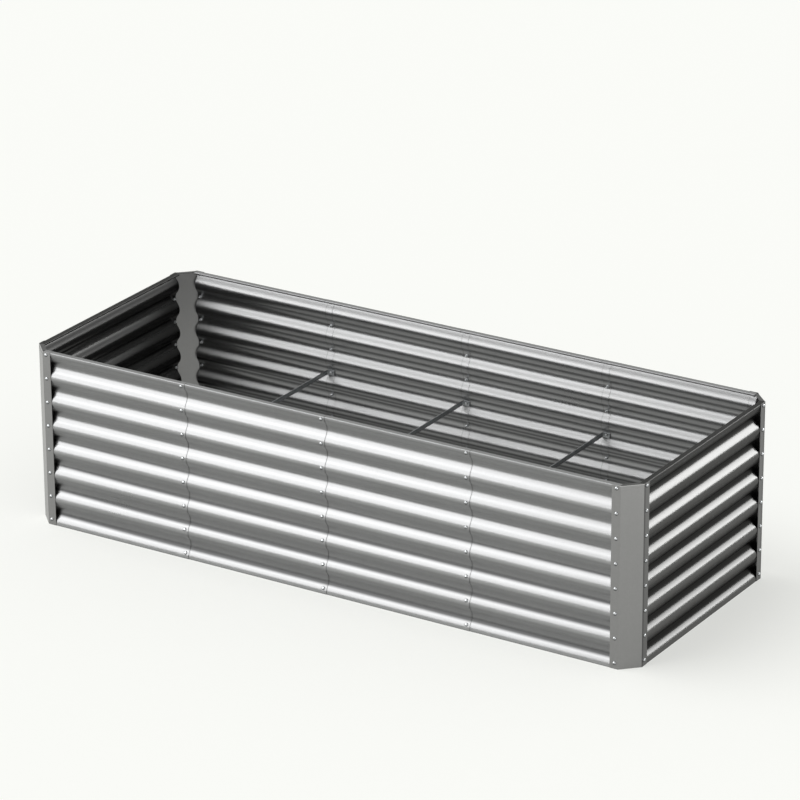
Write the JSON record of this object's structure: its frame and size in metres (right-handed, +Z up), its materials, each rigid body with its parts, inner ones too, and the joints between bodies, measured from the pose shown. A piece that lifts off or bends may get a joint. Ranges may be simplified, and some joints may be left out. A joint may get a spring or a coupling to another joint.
{
  "type": "raised garden bed",
  "caption": "Rectangular raised garden bed of corrugated galvanised sheet, with chamfered corner posts, folded top lips and inner tie bars, open at top and bottom.",
  "frame": {"origin": "centre of the footprint, on the ground", "axes": "+X along the long sides to the right end, -Y the front, +Z up"},
  "size_m": [2.37, 0.93, 0.639],
  "materials": {
    "panel_sheet": "bright galvanised sheet, satin, with faint rolling lines",
    "post_sheet": "dull galvanised sheet, matt grey",
    "tie_bar_steel": "zinc-plated flat bar, satin"
  },
  "bodies": {
    "root": {"front_panel_1": "panel_sheet", "front_panel_2": "panel_sheet", "front_panel_3": "panel_sheet", "front_panel_4": "panel_sheet", "back_panel_1": "panel_sheet", "back_panel_2": "panel_sheet", "back_panel_3": "panel_sheet", "back_panel_4": "panel_sheet", "left_end_panel": "panel_sheet", "right_end_panel": "panel_sheet", "corner_post_front_left": "post_sheet", "corner_post_front_right": "post_sheet", "corner_post_back_left": "post_sheet", "corner_post_back_right": "post_sheet", "tie_bar_1": "tie_bar_steel", "tie_bar_2": "tie_bar_steel", "tie_bar_3": "tie_bar_steel"}
  },
  "joints": []
}
